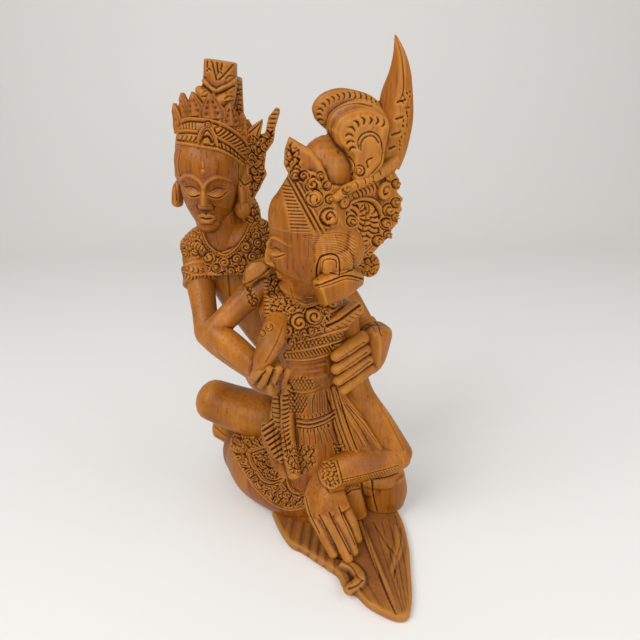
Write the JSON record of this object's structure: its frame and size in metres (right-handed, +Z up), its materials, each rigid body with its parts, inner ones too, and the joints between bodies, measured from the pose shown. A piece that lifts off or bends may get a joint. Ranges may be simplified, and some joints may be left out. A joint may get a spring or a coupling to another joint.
{
  "type": "rama and sita figure",
  "caption": "Carved wooden prince seated behind a kneeling princess who bows her head, with crowns, scrolls and a tall horn, on a leaf base.",
  "frame": {"origin": "on the flat underside, below the middle of the group", "axes": "+Z up, +X to the right and -Y towards the viewer, seen from the front"},
  "size_m": [0.1978, 0.207, 0.3912],
  "materials": {
    "wood": "oiled hardwood with a soft sheen"
  },
  "bodies": {
    "root": {"rama_and_sita_carving": "wood"}
  },
  "joints": []
}
